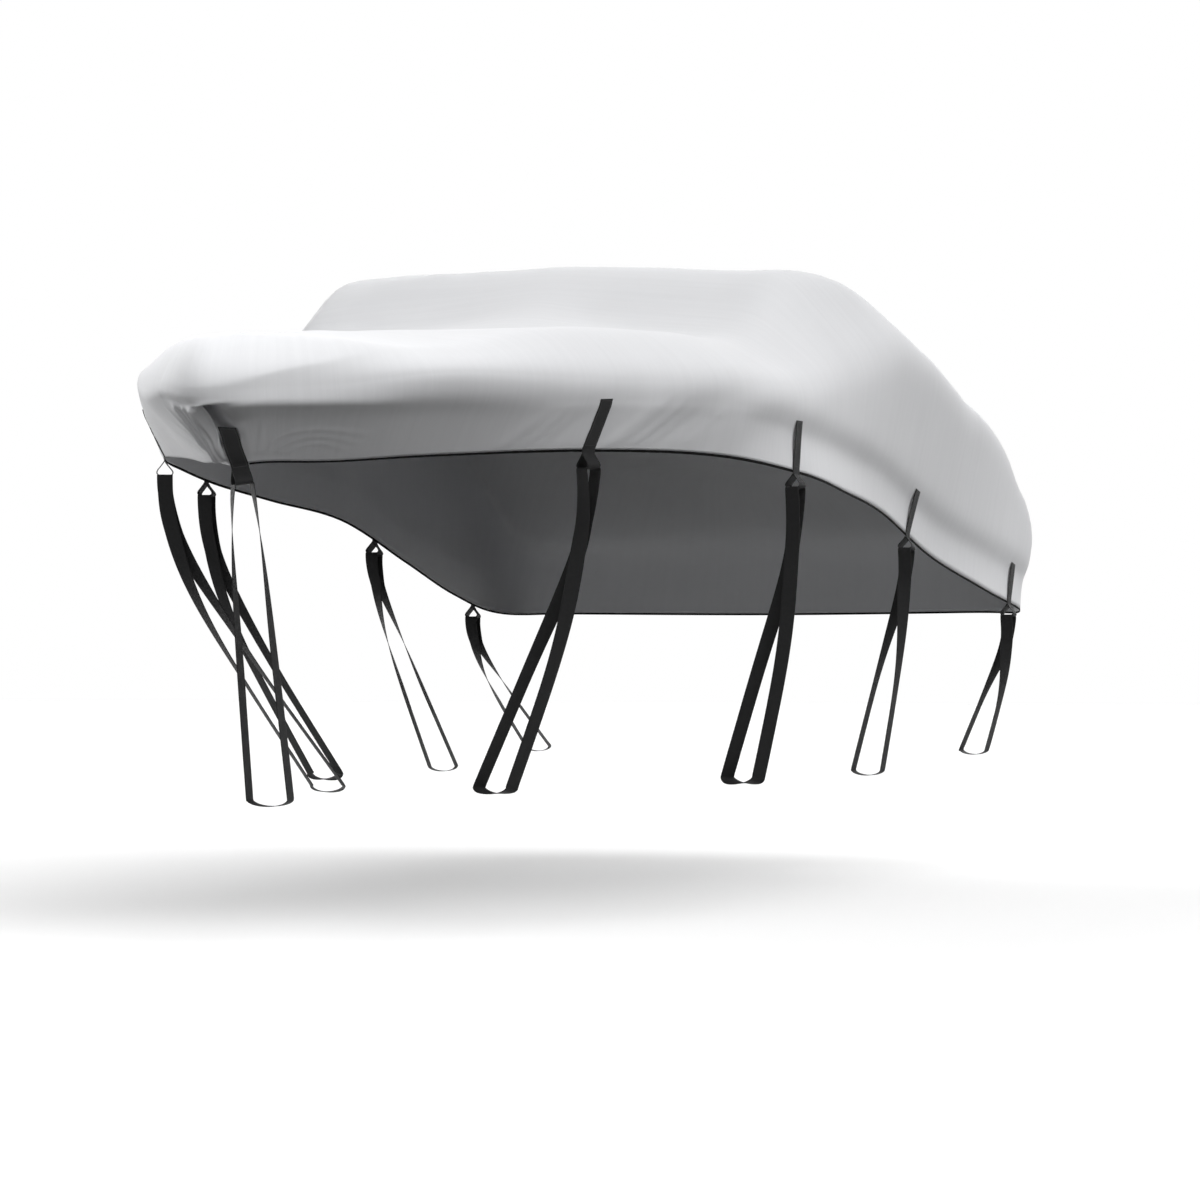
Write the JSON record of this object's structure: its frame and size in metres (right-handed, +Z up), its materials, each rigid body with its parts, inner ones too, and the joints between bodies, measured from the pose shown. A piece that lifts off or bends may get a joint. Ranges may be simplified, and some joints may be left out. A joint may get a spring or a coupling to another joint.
{
  "type": "boat cover",
  "caption": "Fitted cloth storage cover for a trailered runabout, with a raised windscreen hump, sewn webbing tabs with loops and closed tie-down straps.",
  "frame": {"origin": "on the underside of the highest point of the hump, on the centreline, where the boat's windscreen carries the cover", "axes": "+X to the bow, +Y to port, +Z up"},
  "size_m": [6.05, 2.4554, 1.9066],
  "materials": {
    "cloth": "matt light grey woven polyester",
    "webbing": "matt black woven webbing",
    "edging": "matt black woven edging"
  },
  "bodies": {
    "root": {"cover": "cloth", "hem_edging": "edging", "tab_bow": "webbing", "tab_port_1": "webbing", "tab_port_2": "webbing", "tab_port_3": "webbing", "tab_port_4": "webbing", "tab_starboard_1": "webbing", "tab_starboard_2": "webbing", "tab_starboard_3": "webbing", "tab_starboard_4": "webbing", "strap_bow": "webbing", "strap_port_1": "webbing", "strap_port_2": "webbing", "strap_port_3": "webbing", "strap_port_4": "webbing", "strap_starboard_1": "webbing", "strap_starboard_2": "webbing", "strap_starboard_3": "webbing", "strap_starboard_4": "webbing"}
  },
  "joints": []
}
